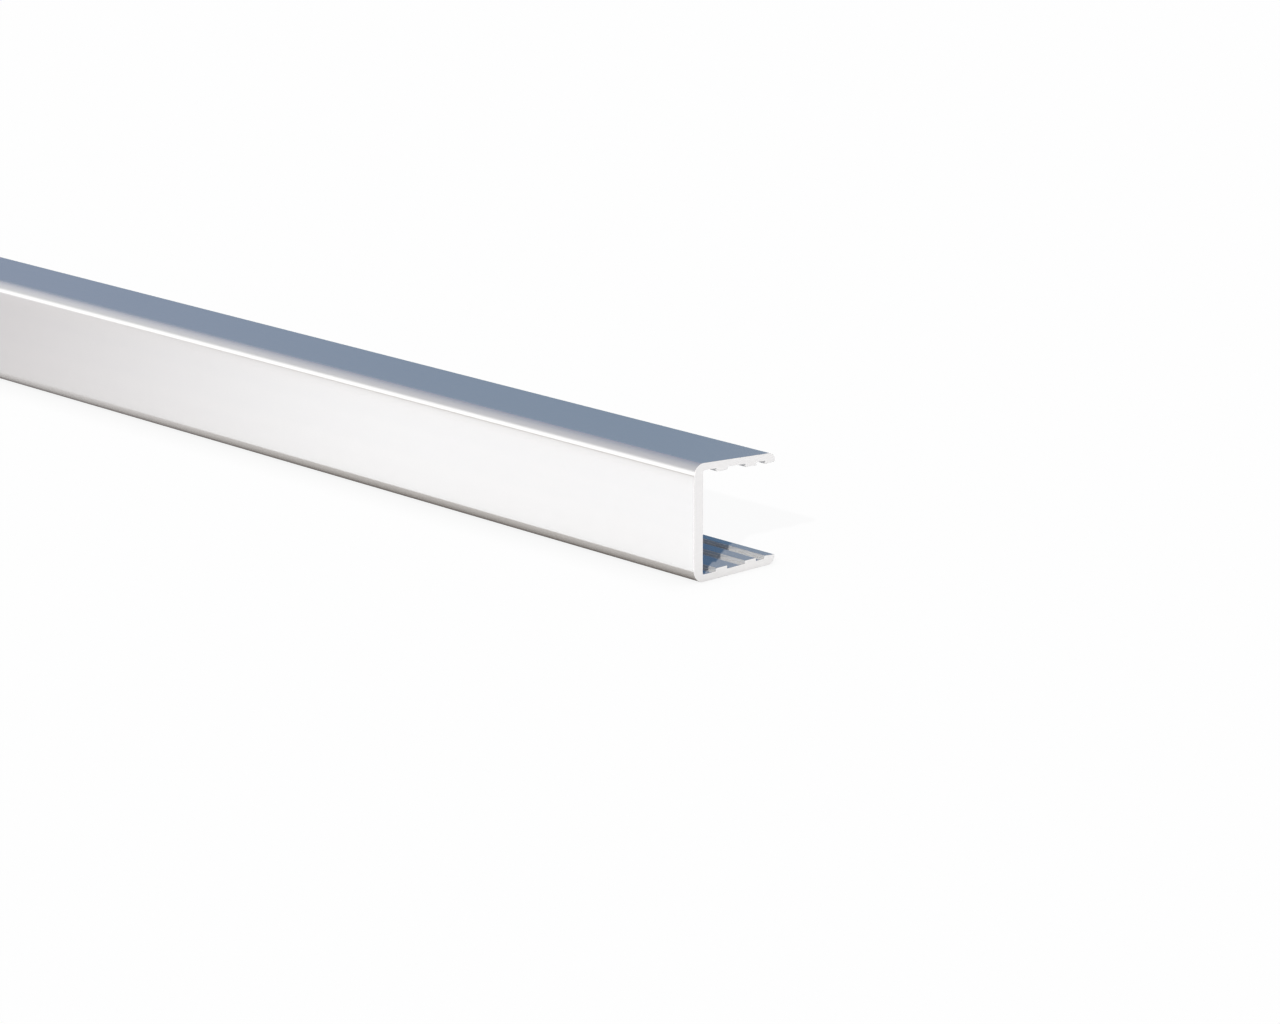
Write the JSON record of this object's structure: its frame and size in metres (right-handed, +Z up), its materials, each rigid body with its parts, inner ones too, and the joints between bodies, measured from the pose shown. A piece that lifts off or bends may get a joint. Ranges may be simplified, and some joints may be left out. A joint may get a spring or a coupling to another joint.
{
  "type": "aluminium edge profile",
  "caption": "Straight extruded aluminium U-profile with rounded bends, flanges that lean inwards and gripping ribs inside, pushed over a board's edge to cap and clamp it.",
  "frame": {"origin": "on the floor under the middle of the bar: half its length, half its depth, at the lower flange's outer face", "axes": "+X along the bar to the end that the picture shows, +Y out of the channel's mouth, +Z up from the lower flange"},
  "size_m": [1, 0.0226, 0.0248],
  "materials": {
    "aluminium": "bright and smooth as extruded, with sawn ends"
  },
  "bodies": {
    "root": {"edge_profile": "aluminium"}
  },
  "joints": []
}
